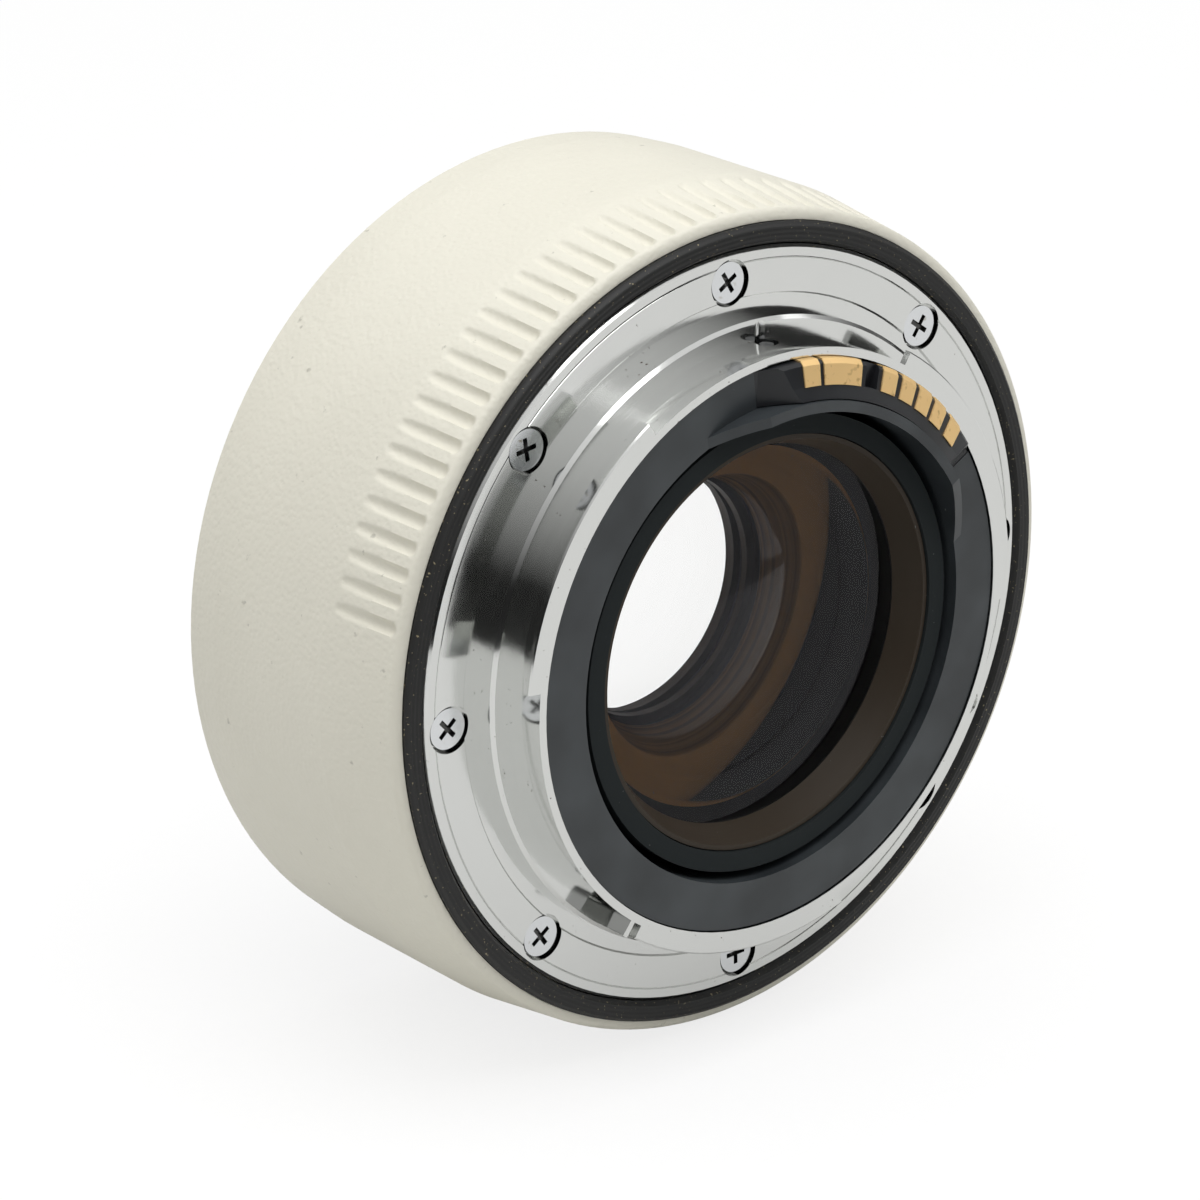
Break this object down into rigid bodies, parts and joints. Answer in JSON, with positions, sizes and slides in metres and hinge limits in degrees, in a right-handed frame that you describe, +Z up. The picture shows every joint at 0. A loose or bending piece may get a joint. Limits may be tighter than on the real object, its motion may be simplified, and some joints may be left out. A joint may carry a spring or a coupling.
{
  "type": "camera teleconverter",
  "caption": "Short off-white barrel with a male lens bayonet at the rear, a female one in front, a protruding lens nose, sprung contacts and a lens release lever.",
  "frame": {"origin": "centre of the rear bayonet's locating ring, in the plane of the rear seating face", "axes": "-Y along the optical axis towards the camera, +Y towards the lens, +Z up with the barrel lying on its side as in the picture, +X to the right as seen from the camera side"},
  "size_m": [0.0728, 0.0451, 0.0728],
  "materials": {
    "barrel_paint": "fine textured off-white enamel",
    "black_anodised": "black anodised, matt",
    "mount_chrome": "circularly turned chrome plate, satin",
    "screw_steel": "satin",
    "spring_steel": "bright wire and strip",
    "black_rubber": "matt",
    "baffle_plastic": "satin moulded",
    "contact_plastic": "satin moulded",
    "contact_gold": "gold plated",
    "coated_glass": "polished, multi-coated",
    "index_red": "gloss",
    "flex_film": "gloss",
    "board_laminate": "satin",
    "chip_resin": "matt",
    "lever_enamel": "satin black enamel"
  },
  "bodies": {
    "converter": {"grip_ring": "barrel_paint", "outer_barrel": "barrel_paint", "inner_frame": "black_anodised", "front_frame": "black_anodised", "lens_barrel": "black_anodised", "lens_cell": "black_anodised", "front_retaining_ring": "black_anodised", "rear_retaining_ring": "black_anodised", "outer_spacer": "black_anodised", "inner_spacer": "black_anodised", "rear_mount": "mount_chrome", "front_mount": "mount_chrome", "rear_mount_screws": "screw_steel", "front_mount_screws": "screw_steel", "lens_barrel_screws": "screw_steel", "rear_block_screws": "screw_steel", "front_block_screws": "screw_steel", "board_screws": "screw_steel", "frame_screws": "screw_steel", "baffle_locating_pin": "screw_steel", "spring_rivets": "screw_steel", "mount_stop_pin": "screw_steel", "mount_springs": "spring_steel", "contact_springs": "spring_steel", "lock_pin_spring": "spring_steel", "seal_ring": "black_rubber", "rear_baffle": "baffle_plastic", "rear_contact_block": "contact_plastic", "front_contact_block": "contact_plastic", "rear_contact_lands": "contact_gold", "front_element": "coated_glass", "doublet_flint": "coated_glass", "doublet_crown": "coated_glass", "inner_element": "coated_glass", "rear_element": "coated_glass", "front_index": "index_red", "rear_index": "index_red", "front_flex": "flex_film", "rear_flex": "flex_film", "circuit_board": "board_laminate", "board_chips": "chip_resin"},
    "release_lever": {"release_lever": "lever_enamel"},
    "lock_pin": {"lock_pin": "screw_steel"},
    "contact_pin_1": {"contact_pin_1": "contact_gold"},
    "contact_pin_2": {"contact_pin_2": "contact_gold"},
    "contact_pin_3": {"contact_pin_3": "contact_gold"},
    "contact_pin_4": {"contact_pin_4": "contact_gold"},
    "contact_pin_5": {"contact_pin_5": "contact_gold"},
    "contact_pin_6": {"contact_pin_6": "contact_gold"},
    "contact_pin_7": {"contact_pin_7": "contact_gold"},
    "contact_pin_8": {"contact_pin_8": "contact_gold"},
    "extension_pin_1": {"extension_pin_1": "contact_gold"},
    "extension_pin_2": {"extension_pin_2": "contact_gold"},
    "extension_pin_3": {"extension_pin_3": "contact_gold"}
  },
  "joints": [
    {"name": "release_lever_slide", "type": "slide", "parent": "converter", "child": "release_lever", "axis": [0, -1, 0], "range_m": [0, 0.0023], "stiffness_N_per_m": 500, "springref_m": -0.0015},
    {"name": "lock_pin_slide", "type": "slide", "parent": "converter", "child": "lock_pin", "axis": [0, -1, 0], "range_m": [0, 0.0023], "deforming": ["lock_pin_spring"]},
    {"name": "contact_pin_1_press", "type": "slide", "parent": "converter", "child": "contact_pin_1", "axis": [0, -1, 0], "range_m": [0, 0.0011], "stiffness_N_per_m": 300, "springref_m": -0.0008, "deforming": ["contact_springs"]},
    {"name": "contact_pin_2_press", "type": "slide", "parent": "converter", "child": "contact_pin_2", "axis": [0, -1, 0], "range_m": [0, 0.0011], "stiffness_N_per_m": 300, "springref_m": -0.0008},
    {"name": "contact_pin_3_press", "type": "slide", "parent": "converter", "child": "contact_pin_3", "axis": [0, -1, 0], "range_m": [0, 0.0011], "stiffness_N_per_m": 300, "springref_m": -0.0008},
    {"name": "contact_pin_4_press", "type": "slide", "parent": "converter", "child": "contact_pin_4", "axis": [0, -1, 0], "range_m": [0, 0.0011], "stiffness_N_per_m": 300, "springref_m": -0.0008},
    {"name": "contact_pin_5_press", "type": "slide", "parent": "converter", "child": "contact_pin_5", "axis": [0, -1, 0], "range_m": [0, 0.0011], "stiffness_N_per_m": 300, "springref_m": -0.0008},
    {"name": "contact_pin_6_press", "type": "slide", "parent": "converter", "child": "contact_pin_6", "axis": [0, -1, 0], "range_m": [0, 0.0011], "stiffness_N_per_m": 300, "springref_m": -0.0008},
    {"name": "contact_pin_7_press", "type": "slide", "parent": "converter", "child": "contact_pin_7", "axis": [0, -1, 0], "range_m": [0, 0.0011], "stiffness_N_per_m": 300, "springref_m": -0.0008},
    {"name": "contact_pin_8_press", "type": "slide", "parent": "converter", "child": "contact_pin_8", "axis": [0, -1, 0], "range_m": [0, 0.0011], "stiffness_N_per_m": 300, "springref_m": -0.0008},
    {"name": "extension_pin_1_press", "type": "slide", "parent": "converter", "child": "extension_pin_1", "axis": [0, -1, 0], "range_m": [0, 0.0011], "stiffness_N_per_m": 300, "springref_m": -0.0008},
    {"name": "extension_pin_2_press", "type": "slide", "parent": "converter", "child": "extension_pin_2", "axis": [0, -1, 0], "range_m": [0, 0.0011], "stiffness_N_per_m": 300, "springref_m": -0.0008},
    {"name": "extension_pin_3_press", "type": "slide", "parent": "converter", "child": "extension_pin_3", "axis": [0, -1, 0], "range_m": [0, 0.0011], "stiffness_N_per_m": 300, "springref_m": -0.0008}
  ],
  "couplings": [
    {"joint": "lock_pin_slide", "follows": "release_lever_slide", "ratio": 1}
  ]
}
